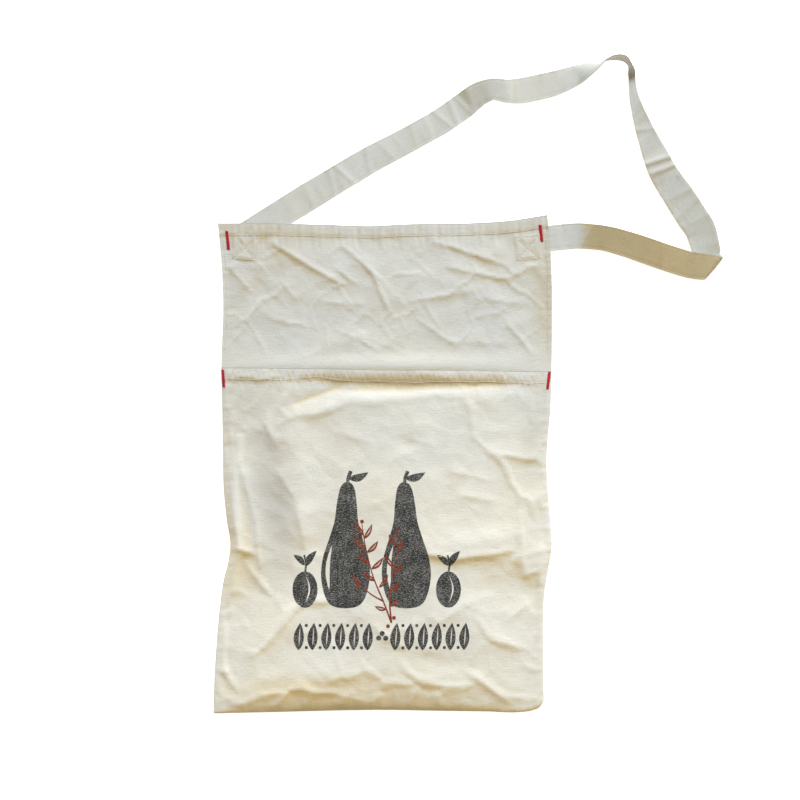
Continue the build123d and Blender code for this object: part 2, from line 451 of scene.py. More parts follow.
# Patches that lighten or darken the cloth, most of them painted light or painted shade: centre, reach
# across and up (metres) and shade
shading_and_tone_patches = [
    # Painted light: lighter over the pouch's lower left
    ((-0.120, -0.190, 0), (0.10, 0.09), (1.10, 1.10, 1.10, 1)),
    # Painted light: lighter along the pouch's bottom
    ((-0.020, -0.255, 0), (0.22, 0.035), (1.06, 1.05, 1.02, 1)),
    # Painted light: lighter over the mouth hem, easing its painted shade
    ((0.020, 0.106, 0), (0.24, 0.022), (1.08, 1.09, 1.12, 1)),
    # Tan along the bib's right side hem
    ((0.190, 0.195, 0), (0.022, 0.085), (0.93, 0.89, 0.79, 1)),
    # Painted shade: tan under the left waist's pinch
    ((-0.180, -0.120, 0), (0.036, 0.055), (0.97, 0.92, 0.79, 1)),
    # Painted shade: tan along the bottom band
    ((-0.085, -0.268, 0), (0.14, 0.026), (1.00, 0.94, 0.80, 1)),
    # Painted shade: greyer down the pouch's left flank
    ((-0.138, -0.035, 0), (0.042, 0.125), (0.84, 0.84, 0.85, 1)),
    # Painted shade: greyer on the pouch's upper left
    ((-0.170, 0.075, 0), (0.035, 0.045), (0.90, 0.90, 0.90, 1)),
    # Greyer near the pouch's right edge, below the mouth
    ((0.180, 0.050, 0), (0.022, 0.060), (0.91, 0.91, 0.90, 1)),
]
# The tan of the painted shade in folds, in hollows and on faces turned from the light
painted_shade_tan = (0.99, 0.83, 0.54, 1)
# Each cloth's warm, cool and pale patches. The bib's are greyer and cooler than the pouch's, as painted
# shade
pouch_shades = (0.73, 0.697, 0.592, 1), (0.72, 0.705, 0.65, 1), (0.77, 0.75, 0.675, 1)
bib_painted_shade_tones = (0.575, 0.558, 0.495, 1), (0.565, 0.57, 0.55, 1), (0.62, 0.62, 0.59, 1)
strap_shades = (0.55, 0.542, 0.495, 1), (0.525, 0.547, 0.527, 1), (0.58, 0.588, 0.568, 1)
weave = 0.55
canvas = bag_cloth()
strap_canvas = strap_cloth(strap_shades)
cream_thread = thread_material("cream_thread", (0.70, 0.67, 0.57, 1), (0.52, 0.48, 0.38, 1))
red_thread = thread_material("red_thread", (0.60, 0.02, 0.055, 1), (0.28, 0.006, 0.018, 1))
charcoal_ink = ink_material("charcoal_ink", (0.022, 0.022, 0.023, 1), (0.30, 0.295, 0.27, 1), cover=0.56)
rust_ink = ink_material("rust_ink", (0.19, 0.035, 0.018, 1), (0.45, 0.25, 0.17, 1), cover=0.60)


# --- The bag's outline, which pulls in at the waist and flares at the bottom corners ---------

left_edge = curve([
    (-294, -207.5), (-249, -206), (-210, -203.5), (-161, -199), (-134, -195), (-109, -189),
    (-91, -187), (-64, -191), (-25, -195), (20, -196), (82, -197), (115, -198), (200, -195.5),
    (250, -197.5), (292, -201.5),
])
right_edge = curve([
    (-294, 189), (-218, 188), (-179, 188), (-149, 189.5), (-120, 194), (-98, 198), (-64, 196.5),
    (-25, 193.5), (8, 192), (36, 193.5), (70, 196.5), (110, 198), (171, 198.5), (241, 197.5),
    (271, 195.5), (302, 192.5),
])
top_edge = curve([
    (-202, 292), (-145, 292), (-70, 290.5), (-13, 289.3), (16, 291), (107, 292.8), (146, 295.2),
    (193, 302),
])
bottom_edge = curve([
    (-208, -294), (-178, -293.3), (-117, -291.8), (-70, -290.5), (5, -289.5), (53, -290.5),
    (122, -291.6), (160, -292.4), (176, -290), (184, -286), (189, -279),
])
mouth_edge = curve([(-198, 120), (-60, 118.3), (5, 116.8), (112, 116.5), (185, 115.3), (198, 115.5)])


def across(s, y):
    """The place across the bag at s, from 0 at its left edge to 1 at its right edge."""
    return left_edge(y) + (right_edge(y) - left_edge(y)) * s


def outlined(s, v, head):
    """The place of (s, v) between the bottom edge and a head edge, both from 0 to 1."""
    foot_y = bottom_edge(across(s, bottom_y))
    y = foot_y + (head(across(s, head(0))) - foot_y) * v
    return across(s, y), y


def unlined(x, y, head):
    """The (s, v) of a place, the other way round from outlined."""
    s = (x - left_edge(y)) / (right_edge(y) - left_edge(y))
    foot_y = bottom_edge(across(s, bottom_y))
    return s, (y - foot_y) / (head(across(s, head(0))) - foot_y)


def edge_steps(length, step, fine=(0.0, 0.5, 1.2, 2.2, 3.6, 5.4)):
    """Places from 0 to length, closer together at both ends."""
    count = int(round((length - 2 * fine[-1]) / step))
    middle = np.linspace(fine[-1], length - fine[-1], count + 1)[1:-1]
    return np.concatenate([fine, middle, length - np.array(fine[::-1])])


row_step = 2.0
columns = edge_steps(2 * half_width, row_step) / (2 * half_width)
middle_column = len(columns) // 2


# --- Front of the pouch ----------------------------------------------------------------------

belly_rise = curve([
    (-293, 0.3), (-284, 3.6), (-272, 6.6), (-256, 9), (-235, 10.8), (-200, 12.2), (-150, 13.4),
    (-60, 14.6), (40, 14.4), (103, 12.4), (120, 12),
])


def hem_depth(x):
    return hem + 1.2 * ripple(x, 3, (160, 70, 33)) - 3.5 * np.exp(-(((x + 88) / 22) ** 2))


# Creases are start x and y, end x and y, height, and fall above and below. Dimples are centre
# x and y, height, width, length and angle. Crumples are height, cell, seed, stretch and angle
pouch_creases = [
    (-118, 74, -52, 98, -3.4, 13, 8), (-64, 93, 40, 94, -2.6, 12, 9), (20, 95, 140, 99, -1.6, 10, 9),
    (-96, 60, -60, 76, 1.0, 10, 8), (60, 70, 130, 84, 0.9, 14, 8),
    # Waist and lower right
    (44, -101, 88, -109, 2.4, 16, 5), (80, -109, 152, -98, 2.1, 20, 8),
    (150, -108, 196, -97, 1.6, 16, 11), (160, -131, 192, -120, 1.2, 12, 7),
    (140, -186, 176, -156, 1.3, 14, 8), (120, -205, 160, -214, 1.3, 12, 8),
    (98, -243, 152, -284, 1.9, 13, 9), (12, -254, 96, -262, 1.1, 17, 13),
    # Left waist
    (-194, -91, -156, -103, 3.1, 14, 9), (-170, -112, -140, -150, 1.8, 14, 9),
    # Long soft folds down the left side
    (-176, 12, -158, -62, 2.3, 15, 9), (-158, -50, -150, -128, 2.6, 14, 9),
    (-132, 0, -106, -40, 2.0, 15, 9), (-108, -38, -98, -92, 2.4, 14, 8),
    (-150, 62, -128, 22, 1.5, 15, 10),
    # Upper right
    (122, 19, 192, 8, 1.6, 14, 6), (70, -2, 126, -14, 1.4, 16, 8), (84, -30, 134, -40, 1.5, 15, 8),
    (20, 38, 64, 26, 1.3, 16, 9), (-60, 44, -14, 30, 1.1, 18, 10),
    # Bottom left
    (-186, -286, -132, -268, 1.2, 12, 9), (-150, -272, -96, -262, 1.1, 13, 12),
    (-110, -262, -64, -270, 1.1, 14, 12), (-74, -266, -20, -280, 1.1, 13, 11),
    (-142, -292, -118, -270, 1.0, 7, 6), (-100, -291, -84, -262, 1.1, 8, 6),
    (-62, -291, -40, -264, 1.0, 8, 6), (-24, -291, -6, -268, 0.9, 8, 7),
    (24, -290, 38, -262, 0.8, 8, 7), (66, -291, 60, -266, 0.8, 8, 7),
    (-206, -247, -188, -243, 1.4, 8, 4),
]
pouch_dimples = [
    (-30, 78, 1.8, 14, 60, 3), (-112, -36, 4.6, 27, 105, 93), (-184, -70, 3.2, 12, 70, 88),
    (150, -150, -2.6, 24, 40, -10), (110, -86, 2.2, 14, 40, 8), (28, 31, -1.6, 10, 12, 0),
    (-120, -190, 2.0, 26, 50, 40), (96, -180, 1.6, 24, 50, -30), (-20, -30, 1.6, 40, 60, 20),
    (60, -230, -1.2, 12, 50, -10), (-70, -245, 1.8, 16, 60, 4), (168, -60, 1.4, 16, 40, 60),
]
pouch_crumples = [(1.8, 62.0, 5, 1.5, -12), (0.95, 31.0, 8, 1.4, 20), (-0.45, 17.0, 11, 1.3, -30)]


def front_height(x, y):
    """The height of the middle of the front cloth."""
    left, right = left_edge(y), right_edge(y)
    inset = np.minimum(x - left, right - x)
    foot = y - bottom_edge(x)
    middle = (left + right) / 2
    arch = np.clip(1 - ((x - middle) / ((right - left) / 2)) ** 2, 0, 1) ** 1.45
    edge = (1 - np.exp(-inset / 2.6)) * (1 - np.exp(-np.maximum(foot, 0) / 2.6))
    pucker = 0.5 * ripple(y, 21, (13, 8.5, 21)) * np.exp(-inset / 9.0)
    pucker = pucker + 0.35 * ripple(x, 22, (15, 9, 24)) * np.exp(-np.maximum(foot, 0) / 9.0)
    sides = smooth(0, 14, inset) * smooth(0, 12, foot) + 0.2
    z = 1.5 + 1.7 * edge + belly_rise(y) * arch + pucker * smooth(0, 3, inset)
    relief = folded(x, y, pouch_creases, pouch_dimples, pouch_crumples)
    z = z + relief * np.minimum(sides, 1.0) * edge
    # The hem is a thicker band that puckers along its stitching
    depth = mouth_edge(x) - y
    band = smooth(-1.2, 0.8, hem_depth(x) - depth)
    z = z + 0.7 * band * smooth(-2, 6, inset)
    # Its fold stands a little proud and a trough runs below it, most towards the right
    middle_share = smooth(4, 60, inset)
    drop = middle_share * (0.25 + 0.75 * smooth(-110, -20, x)) * (1 - 0.35 * smooth(60, 170, x))
    z = z + (1.4 * smooth(16, 2, depth) - 1.1 * np.exp(-(((depth - 18) / 8) ** 2))) * drop
    groove = np.exp(-(((depth - hem_depth(x) + 1.8) / 1.5) ** 2))
    z = z - 0.35 * groove * smooth(2, 8, inset)
    pull = ripple(x + 0.35 * depth, 31, (9, 6.5, 14)) * (0.6 + 0.4 * ripple(x, 32, (70, 43)))
    pull = pull + 0.5 * ripple(x - 0.5 * depth, 33, (5.1, 3.9, 7.3))
    z = z + 0.6 * pull * smooth(hem + 12, hem - 4, depth) * smooth(-1, 4, depth) * smooth(2, 10, inset)
    return np.maximum(z, 1.3)


# --- Back cloth and bib ----------------------------------------------------------------------

bib_lift = curve([(130, 0.0), (150, 0.5), (200, 2.5), (250, 5.2), (266, 6.2), (282, 7.8), (304, 9.6)])
corner_lift = curve([
    (-203, 1.0), (-150, 1.0), (-105, 0.92), (-60, 0.6), (0, 0.42), (90, 0.42), (140, 0.6), (200, 0.82),
])


# The bib's wrinkles: folds that run from the strap's corners, and a general crumple
bib_creases = [
    (58, 272, 142, 244, 3.2, 16, 5), (68, 242, 146, 226, 2.6, 14, 5), (140, 226, 192, 250, 1.8, 15, 9),
    (20, 199, 122, 216, 2.6, 22, 8), (98, 178, 146, 190, 1.4, 14, 7), (142, 178, 178, 133, 2.2, 13, 8),
    (36, 179, 96, 140, 1.9, 15, 8), (76, 152, 150, 150, 1.3, 14, 7), (-56, 270, -10, 229, 2.8, 15, 7),
    (-140, 272, -98, 246, 2.4, 13, 6), (-104, 249, -50, 219, 2.4, 14, 6),
    (-66, 244, -34, 220, 1.8, 9, 5), (-196, 252, -160, 208, 2.4, 16, 9),
    (-128, 226, -106, 200, 1.6, 9, 6), (-84, 200, -26, 196, 1.8, 17, 7),
    (-150, 182, -84, 168, 1.4, 18, 8), (-18, 238, 4, 186, 1.8, 16, 9), (-58, 166, -6, 140, 1.5, 15, 8),
    (-6, 150, 30, 133, 1.8, 10, 7), (100, 204, 178, 196, 1.4, 16, 9),
]
bib_dimples = [
    (-26, 171, -2.2, 8, 11, 20), (14, 138, -1.6, 8, 12, -20), (-60, 150, 1.6, 16, 50, 0),
    (120, 160, 1.2, 18, 40, 10), (-150, 220, -1.6, 14, 26, 50), (70, 222, 1.6, 12, 40, -14),
]
bib_fold_share = 0.55
bib_crumples = [(1.1, 50.0, 14, 1.6, -28), (0.9, 27.0, 17, 1.5, 24), (-0.45, 15.0, 19, 1.4, -50)]

box_size = 28.0
boxes = [
    ((box_mm(f"strap_{side}_box_stitching")[0] + box_mm(f"strap_{side}_box_stitching")[1]) / 2, tilt)
    for side, tilt in (("left", -5.0), ("right", 5.0))
]


def box_frame(x, y, box):
    """Places measured along and up a crossed box, from its middle."""
    centre, tilt = box
    return turned(x - centre[0], y - centre[1], tilt)


def back_height(x, y):
    """The height of the middle of the back cloth: flat under the pouch, wrinkled up the bib."""
    left, right = left_edge(y), right_edge(y)
    inset = np.minimum(x - left, right - x)
    arch = 1 - np.clip(np.abs(x) / half_width, 0, 1) ** 2
    up = smooth(116, 150, y)
    z = 0.65 + 0.35 * np.exp(-inset / 2.0)
    # It lies a little proud along the mouth and falls away above it
    z = z + 3.6 * arch * np.exp(-(((y - 123) / 13) ** 2)) * (1 - 0.35 * smooth(60, 0, y))
    z = z + bib_lift(y) * corner_lift(x)
    inner = smooth(1, 13, inset)
    calm = np.ones_like(x)
    for box in boxes:
        # The strap's end makes a raised square, which its stitches press in
        u, v = box_frame(x, y, box)
        out = np.maximum(np.abs(u), np.abs(v))
        calm = calm - 0.8 * smooth(26, 13, out)
        z = z + 0.7 * smooth(17, 13.5, out)
        edge = np.abs(out - box_size / 2)
        cross = np.minimum(np.abs(u - v), np.abs(u + v)) / math.sqrt(2)
        z = z - 0.45 * np.exp(-((edge / 1.3) ** 2)) * smooth(17, 14, out)
        z = z - 0.45 * np.exp(-((cross / 1.3) ** 2)) * smooth(15, 13.5, out)
    depth = top_edge(x) - y
    calm = calm * (1 - 0.6 * smooth(hem + 4, hem - 6, depth))
    relief = bib_fold_share * folded(x, y, bib_creases, bib_dimples, [])
    relief = relief + folded(x, y, [], [], bib_crumples)
    z = z + relief * up * calm * (0.35 + 0.65 * inner)
    # Side hems and the top hem
    sides = smooth(7.5, 6.2, inset) * up
    z = z + 0.4 * sides - 0.35 * np.exp(-(((inset - 4.6) / 1.1) ** 2)) * up
    z = z + 0.25 * ripple(y, 41, (12, 8, 19)) * np.exp(-inset / 8) * up
    band = smooth(-1.0, 0.8, hem - depth)
    z = z + 0.6 * band - 0.5 * np.exp(-(((depth - hem + 1.8) / 1.5) ** 2)) * smooth(1, 4, inset)
    z = z + 1.1 * ripple(x, 43, (12, 8, 19, 34)) * smooth(hem + 16, hem - 3, depth) * smooth(1, 8, inset)
    return soft_floor(z, 0.6)


# Blender's cloth is steadiest at about metre size, so it runs scaled up. Only part of its rise
# is kept, since the drawn folds already carry most of the photo's relief
sim_scale, sim_frames, sim_gap = 10.0, 24, 0.8
bed_depth = 2.0
front_rise_share, back_rise_share = 0.55, 0.42


def settle(x, y, z, held, slack, stiffness):
    """Drops a grid of cloth that is slack for its shape, and held where held is 1, onto that
    shape. Returns how far each of its points ends above where it began."""
    rows, cols = x.shape
    index = np.arange(rows * cols).reshape(rows, cols)
    faces = quads_of(index).reshape(-1, 4).tolist()
    start = np.stack([x, y, z], -1).reshape(-1, 3)
    bed = make_mesh("bed", (start - (0, 0, bed_depth)) * sim_scale, faces, canvas)
    bed.modifiers.new("Collision", "COLLISION")
    bed.collision.thickness_outer = sim_gap * sim_scale * MM
    bed.collision.cloth_friction = 12.0
    cloth = make_mesh("settling", start * sim_scale, faces, canvas)
    group = cloth.vertex_groups.new(name="held")
    for i, weight in enumerate(held.ravel().tolist()):
        if weight > 0:
            group.add([i], weight, "REPLACE")
    modifier = cloth.modifiers.new("Cloth", "CLOTH")
    settings = dict(
        quality=6, mass=0.35, air_damping=2.0, tension_stiffness=25.0, compression_stiffness=25.0,
        shear_stiffness=10.0, bending_stiffness=stiffness, vertex_group_mass="held", shrink_min=-slack,
    )
    for key, value in settings.items():
        setattr(modifier.settings, key, value)
    modifier.collision_settings.distance_min = sim_gap * sim_scale * MM
    modifier.point_cache.frame_start, modifier.point_cache.frame_end = 1, sim_frames
    for number in range(1, sim_frames + 1):
        bpy.context.scene.frame_set(number)
    settled = cloth.evaluated_get(bpy.context.evaluated_depsgraph_get())
    found = np.empty(3 * rows * cols, np.float32)
    settled.data.vertices.foreach_get("co", found)
    bpy.context.scene.frame_set(1)
    for piece in (bed, cloth):
        mesh = piece.data
        bpy.data.objects.remove(piece)
        bpy.data.meshes.remove(mesh)
    return found.reshape(rows, cols, 3)[..., 2] / (sim_scale * MM) - z


def settled_rise(head, height, low_v, slack, stiffness, cell):
    """How far the simulated cloth rises above its modelled shape, at each point of a face's
    grid. Below low_v, and round its edges, the cloth is sewn down."""
    length = front_length if head is mouth_edge else back_length
    fine_rows = edge_steps(length, row_step) / length
    coarse_rows = np.linspace(low_v, 1, int(length * (1 - low_v) / cell))
    coarse_columns = np.linspace(0, 1, int(2 * half_width / cell))
    s, v = np.meshgrid(coarse_columns, coarse_rows)
    x, y = outlined(s, v, head)
    inset = np.minimum(np.minimum(s, 1 - s) * 2 * half_width, np.minimum(v - low_v, 1 - v) * length)
    rise = settle(x, y, height(x, y), smooth(9, 3, inset), slack, stiffness)
    rise = rise * smooth(0, 30, (v - low_v) * length)
    rise = carried(carried(rise.T, coarse_columns, columns).T, coarse_rows, fine_rows)
    return rise * smooth(low_v, low_v + 0.02, fine_rows)[:, None]


def face_of(head, length):
    """The places of a cloth's face, and how far each row is from its bottom seam."""
    up = edge_steps(length, row_step)
    return *outlined(*np.meshgrid(columns, up / length), head), up


def hemmed(x, y, z, up, height, lowest):
    """A cloth's grid and its flat places: its face, then over the fold at its head and down
    behind as a hem. Height gives the cloth's middle, and lowest is the least that the hem may
    come down to at the fold."""
    rows, flat_rows = [np.stack([x, y, z], -1)], [up]
    edge_y, edge_z = y[-1], z[-1]
    radius = np.clip((edge_z - lowest) / 2, 0.1, fold_radius)
    for angle in math.pi * np.linspace(0, 1, 7)[1:]:
        row = (x[-1], edge_y + radius * math.sin(angle), edge_z - radius * (1 - math.cos(angle)))
        rows.append(np.stack(row, -1)[None])
        flat_rows.append([up[-1] + fold_radius * angle])
    for down in np.arange(1.5, hem, 1.9):
        row_x = across(columns, edge_y - down)
        row = (row_x, edge_y - down, height(row_x, edge_y - down) - 2 * radius)
        rows.append(np.stack(row, -1)[None])
        flat_rows.append([up[-1] + fold_radius * math.pi + down])
    points = np.concatenate(rows)
    flat = np.zeros_like(points)
    flat[..., 0] = half_width * (2 * columns - 1)
    flat[..., 1] = np.concatenate(flat_rows)[:, None] + bottom_y
    return points, flat, len(up)


front_length, back_length = mouth_y - bottom_y, top_y - bottom_y
x, y, up = face_of(mouth_edge, front_length)
rise = settled_rise(mouth_edge, front_height, low_v=0.0, slack=0.005, stiffness=5.0, cell=4.5)
z = front_height(x, y) + front_rise_share * rise
fold_x = x[-1]


def front_hem_height(_, y):
    """The front's height below its fold, along the columns that reach the fold."""
    return front_height(fold_x, y)


front_grid, front_flat, front_face_rows = hemmed(x, y, z, up, front_hem_height, lowest=2.3)

# Behind the pouch the back lies flat, so only the bib and a little below it is settled
x, y, up = face_of(top_edge, back_length)
bib_v = (mouth_y + 4 - bottom_y) / back_length
rise = settled_rise(top_edge, back_height, low_v=bib_v, slack=0.008, stiffness=2.0, cell=3.6)
z = soft_floor(back_height(x, y) + back_rise_share * rise, 0.6)
back_grid, back_flat, back_face_rows = hemmed(x, y, z, up, back_height, lowest=1.5)

for side, kept in (("left", slice(0, middle_column + 1)), ("right", slice(middle_column, None))):
    piece = shell(f"front_cloth_{side}", front_grid, front_flat, cloth_thickness, canvas, kept,
                  slice(front_face_rows - 1, front_face_rows + 6))
    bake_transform(piece)
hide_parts("front_panel", "mouth_hem")

back_cloth = shell("back_cloth", back_grid, back_flat, cloth_thickness, canvas,
                   worn=slice(back_face_rows - 1, back_face_rows + 6))
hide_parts("back_panel", "bib_panel", "top_hem", "bib_left_hem", "bib_right_hem")
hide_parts("left_side_seam", "right_side_seam", "bottom_seam")
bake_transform(back_cloth)


# --- Strap -----------------------------------------------------------------------------------


def path_through(points, step=2.5):
    """Evenly spaced stations on a smooth line through points, each point a row of numbers."""
    points = np.array(points, float)
    chord = summed(np.sqrt(np.linalg.norm(np.diff(points[:, :2], axis=0), axis=1)))
    dense = carried(points, chord, np.linspace(0, chord[-1], 1600))
    run = summed(np.linalg.norm(np.diff(dense[:, :2], axis=0), axis=1))
    places = np.linspace(0, run[-1], max(3, int(round(run[-1] / step)) + 1))
    return np.stack([np.interp(places, run, column) for column in dense.T], -1), places


def past_crease(points, centre, angle):
    """How far points are past a crease, and the direction that runs out over it."""
    out = np.array([math.sin(math.radians(angle)), -math.cos(math.radians(angle)), 0.0])
    return (points - np.array(centre, float)) @ out, out


def fold_over(points, centre, angle, radius, up):
    """Turns what lies past a crease back over itself, round a small roll. Up is 1 where it
    comes back above and -1 where it comes back below."""
    reach, out = past_crease(points, centre, angle)
    lift = points[..., 2] - centre[2]
    roll = np.clip(reach / radius, 0, math.pi)
    past = np.maximum(reach - math.pi * radius, 0)
    arm = radius - up * lift
    place = np.where(reach > 0, arm * np.sin(roll) - past, reach)
    height = np.where(reach > 0, centre[2] + up * (radius - arm * np.cos(roll)), points[..., 2])
    over = points + (place - reach)[..., None] * out
    over[..., 2] = np.where(reach > 0, soft_floor(height, lie - 0.1), height)
    return over


def strap_grid(path, ridges, seed, step=2.5):
    """A grid across and along the strap. Path rows are x, y, height, bank and width: the bank
    is 0 where the strap lies flat and 90 where it stands on its left edge."""
    stations, places = path_through(path, step)
    heading = np.gradient(stations[:, :2], axis=0)
    heading /= np.linalg.norm(heading, axis=1, keepdims=True)
    bank = np.radians(stations[:, 3])
    half = stations[:, 4] / 2
    left = np.stack([-heading[:, 1] * np.cos(bank), heading[:, 0] * np.cos(bank), -np.sin(bank)], -1)
    up = np.stack([-heading[:, 1] * np.sin(bank), heading[:, 0] * np.sin(bank), np.cos(bank)], -1)
    w = strap_across
    middle = stations[:, :3] + np.array([0, 0, 1]) * (np.abs(np.sin(bank)) * half)[:, None]
    points = middle[:, None] + left[:, None] * (w[None] * half[:, None])[..., None]
    upwards = (np.cos(bank) * np.abs(np.cos(bank)))[:, None]
    # Where it lies flat it cups, waves and twists a little, and has its own crush ridges
    offset = 0.3 * (w**2)[None, :] * ripple(places, seed, (90, 140))[:, None]
    offset = offset + 0.4 * ripple(places, seed + 1, (37, 23, 61))[:, None]
    offset = offset + 0.25 * (ripple(places, seed + 2, (13, 19, 29))[:, None] * w[None, :])
    for x, y, height, width, slant in ridges:
        at = places[np.argmin(np.hypot(stations[:, 0] - x, stations[:, 1] - y))]
        d = places[:, None] - at - slant * w[None, :] * strap_width / 2
        offset = offset + height * np.exp(-(np.hypot(d, 0.8) - 0.8) / width)
    edge_groove = 0.16 * np.exp(-(((np.abs(w) - 0.82) / 0.05) ** 2))[None, :]
    offset = offset * upwards - edge_groove
    points = points + up[:, None] * offset[..., None]
    return points, places


def strap_lengths(points):
    """How far along the strap each row of its grid is."""
    return summed(np.linalg.norm(np.diff(points[:, len(strap_across) // 2], axis=0), axis=1))


# Places across the strap, from -1 to 1, closer together at its edges
strap_edge = np.array([0.87, 0.92, 0.97, 1])
strap_across = np.concatenate([-strap_edge[::-1], np.linspace(-0.82, 0.82, 15), strap_edge])
lie = strap_thickness / 2 + 0.15
right_tab = box_mm("strap_right_tab")

# From the sewn right tab, out past the bib and on to the fold at the right
right_path = [
    (right_tab[0][0], 269.5, 3.4, 0, 30), (180, 272.5, 3.4, 0, 30.5), (198, 275.6, 3.2, 0, 31),
    (211, 277.0, 3.0, 0, 31), (227, 278.2, 2.8, -3, 30.8), (241, 277.6, 2.4, -11, 30.6),
    (261, 275.2, 2.0, -15, 30.6), (278, 271.0, 1.8, -14, 31), (294.6, 266.0, 1.6, -14, 31.5),
    (311.4, 260.2, 1.6, -14, 32), (328, 254.4, 1.8, -13, 32), (345, 248.8, 2.2, -11, 32),
    (361.8, 243.6, 2.8, -12, 32), (376, 241.4, 3.0, -12, 32), (390, 240.4, 3.0, -10, 30),
    (404, 239.6, 3.0, -6, 30), (420, 238.8, 3.0, -2, 35),
]
right_ridges = [(240, 277.6, 0.9, 3.5, 0.5), (283, 268, 0.5, 5, 0.3), (330, 253, 0.5, 6, -0.4)]
right_fold_at, right_fold_angle, roll = (389.5, 240.4, 3.0), 56.0, 1.05

# From that fold, other face up, round the corner on its edge, and down to the bib's left
loop_path = [
    (375.8, 286, lie, -173, 36.5), (366.6, 300, lie, -172, 37), (357.6, 314.2, lie, -172, 37),
    (348, 329, lie, -172, 36), (338.4, 343, lie, -172, 34.5), (329.8, 357.4, lie + 0.6, -173, 33),
    (323.6, 371.6, lie + 0.6, -174, 31), (317.6, 385.8, lie, -175, 27),
    (311.6, 400.2, lie + 0.5, -175, 23), (306.2, 414.6, lie + 1.0, -175, 19.5),
    (301.2, 429, lie + 1.5, -173, 15.5), (297.2, 443.4, lie + 1, -168, 12),
    (295.2, 457, lie, -168, 9.5), (294.2, 469.5, lie, -156, 9), (292, 480.5, lie, -100, 15),
    (285, 488.6, lie, -96, 24), (274, 490.4, lie, -95, 25), (260, 487, lie, -82, 24),
    (244, 479.2, lie, -42, 21), (228, 471.4, lie, -10, 24), (211, 464.6, lie, -3, 28),
    (194.4, 459.6, lie, 0, 30.2), (177.6, 455.8, lie, 0, 30.6), (160.8, 452.4, lie + 1.5, 0, 30.4),
    (144, 451.2, lie + 5.5, 3, 28), (127.2, 452.8, lie + 8, 4, 26), (110.4, 447.6, lie + 5, 2, 28.5),
    (93.6, 435.6, lie + 0.6, 0, 31), (76.8, 423.8, lie, 0, 31), (60, 412.8, lie, 0, 31),
    (43.2, 403.4, lie + 0.4, 0, 30.6), (26.4, 394.2, lie, 0, 30.6), (9.6, 385.2, lie, 0, 31),
    (-7.2, 376.6, lie + 0.4, 0, 31.4), (-24, 367.4, lie, 0, 32), (-40.8, 357.4, lie, 0, 32.6),
    (-57.6, 347.4, lie + 0.4, 0, 32.6), (-74.4, 337.2, lie, 0, 33), (-91.2, 327, lie, 0, 33.6),
    (-108, 316.6, lie, 0, 33.6), (-126, 305.6, lie, 0, 33), (-148, 292.2, lie, 0, 32),
    (-172, 277.6, lie, 0, 31), (-192, 265.4, lie, 0, 30), (-214, 252, lie, 0, 30),
    (-236, 238.6, lie, 0, 30),
]
loop_ridges = [
    (330, 358, 1.7, 1.9, -0.12), (324.4, 370, 1.9, 1.8, -0.1), (318, 385, 0.6, 3, 0.3),
    (313.5, 396, 0.8, 2.6, 0.3), (309.5, 405, 0.7, 2.4, -0.2), (304.5, 419, 0.8, 2.4, 0.3),
    (300, 433, 0.9, 2.2, 0.4), (369, 297, 0.6, 5, -0.2), (360, 311, 0.7, 4, 0.2),
    (349, 327, 0.5, 5, -0.2), (341, 340, 0.5, 4, 0.2), (186, 457, 0.5, 5, 0.3),
    (153, 451, -0.9, 2.0, 0.1), (101, 441, 0.8, 2.4, 0.25), (92, 434, 0.7, 1.8, -0.2),
    (80, 426, 0.8, 2.2, 0.2), (68, 418, 0.7, 2.0, -0.3), (50, 407, 0.5, 2, 0.1), (34, 398, 0.6, 3, 0.2),
    (16, 388, 0.4, 2, -0.2), (0, 380, 0.5, 3, -0.3), (-22, 368, 0.6, 2.2, 0.3),
    (-50, 352, 0.8, 2.0, -0.35), (-64, 343, 0.7, 2.0, 0.3), (-80, 334, 0.4, 2, 0.1),
    (-92, 326, 0.5, 3, 0.2),
]
left_fold_at, left_fold_angle = (-191.0, 266.0, lie), 106.0 + 180.0
# How far the strap runs on from each fold before the next drawn path takes over, where the painted
# shade before the right fold begins and is in full, and where it is divided into its three pieces
past_fold, left_tail = 12, 90
painted_shade_from, painted_shade_full = 229, 247
right_cut, left_cut = (261, 275.2, 3), (-96, 324, lie)

lead, lead_places = strap_grid(right_path, right_ridges, seed=51, step=0.9)
# Painted shade: the stretch between the bib and the right fold is tinted tan, as if in shade
reach, _ = past_crease(lead, right_fold_at, right_fold_angle)
painted_shade_edge = lead[..., 0] + 5 * ripple(lead[..., 1], 61, (21, 9))
lead_painted_shade = smooth(painted_shade_from, painted_shade_full, painted_shade_edge) * (reach < 1.6 * roll)
lead = fold_over(lead, right_fold_at, right_fold_angle, radius=roll, up=-1)
to_fold = lead_places[np.argmin(np.abs(np.linalg.norm(lead.mean(1)[:, :2] - right_fold_at[:2], axis=1)))]
lead = lead[lead_places < to_fold + math.pi * roll + past_fold]
lead_painted_shade = lead_painted_shade[: len(lead)]
behind, join = lead[-10].mean(0), lead[-1].mean(0)
bridge = [(behind[0], behind[1], lie, -180, 32.5), (join[0], join[1], lie, -180, 33.5)]
loop, loop_places = strap_grid(bridge + loop_path, loop_ridges, seed=71)
tail = loop_places > loop_places[-1] - left_tail
loop[tail] = fold_over(loop[tail], left_fold_at, left_fold_angle, radius=1.0, up=1)
joined_at = int(np.argmin(np.linalg.norm(loop.mean(1)[:60] - join, axis=1)))
strap_points = np.concatenate([lead, loop[joined_at + 1 :]])
strap_points[..., 2] = np.maximum(strap_points[..., 2], strap_thickness / 2 + 0.05)
strap_flat = np.zeros_like(strap_points)
strap_flat[..., 0] = strap_lengths(strap_points)[:, None]
strap_flat[..., 1] = strap_across * strap_width / 2
strap_thick = strap_thickness * (1 - 0.7 * np.abs(strap_across) ** 20)
strap_thick = np.broadcast_to(strap_thick, strap_points.shape[:2])
